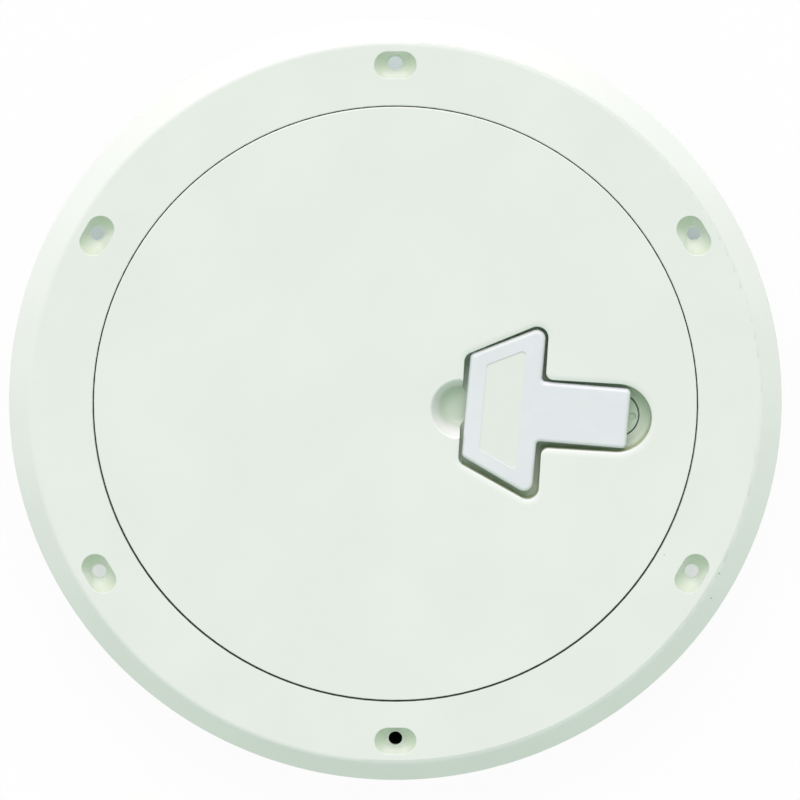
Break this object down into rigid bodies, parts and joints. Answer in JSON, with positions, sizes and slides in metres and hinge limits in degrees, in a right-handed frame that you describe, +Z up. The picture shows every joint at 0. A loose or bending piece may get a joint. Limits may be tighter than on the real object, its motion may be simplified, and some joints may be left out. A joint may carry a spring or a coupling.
{
  "type": "access hatch",
  "caption": "Round flush deck access hatch: bevelled flange on a collar, lift-out lid and a folding T-handle that turns a cam latch.",
  "frame": {"origin": "on the hatch's axis in the deck's plane, which is the plane of the flange's underside", "axes": "+Z up out of the deck along the hatch's axis, +X from that axis towards the latch"},
  "size_m": [0.29, 0.29, 0.0325],
  "materials": {
    "frame_plastic": "smooth satin moulding, off-white",
    "lid_plastic": "finely grained moulding, off-white",
    "seal_rubber": "black soft rubber",
    "ring_rubber": "black rubber",
    "tongue_steel": "brushed stainless",
    "barrel_plastic": "off-white moulding",
    "washer_plastic": "natural nylon",
    "cam_steel": "brushed stainless",
    "fastener_steel": "plain stainless",
    "handle_plastic": "smooth moulding, cool white"
  },
  "bodies": {
    "hatch": {"hatch_frame": "frame_plastic", "lid": "lid_plastic", "lid_seal": "seal_rubber", "lid_tongue": "tongue_steel", "tongue_screw_1": "fastener_steel", "tongue_screw_2": "fastener_steel"},
    "latch": {"latch_barrel": "barrel_plastic", "barrel_ring": "ring_rubber", "thrust_washer": "washer_plastic", "disc_spring": "fastener_steel", "latch_cam": "cam_steel", "cam_washer": "fastener_steel", "cam_screw": "fastener_steel"},
    "handle": {"handle": "handle_plastic", "hinge_pin": "fastener_steel"}
  },
  "joints": [
    {"name": "latch_turn", "type": "hinge", "parent": "hatch", "child": "latch", "pos_m": [0.08315, 0, 0], "axis": [0, 0, 1], "range_deg": [0, 90]},
    {"name": "handle_lift", "type": "hinge", "parent": "latch", "child": "handle", "pos_m": [0.0846, -0.00003, 0.0018], "axis": [0.0236, 0.9997, 0], "range_deg": [0, 90]}
  ],
  "couplings": [
    {"joint": "latch_turn", "follows": "handle_lift", "ratio": 1}
  ]
}
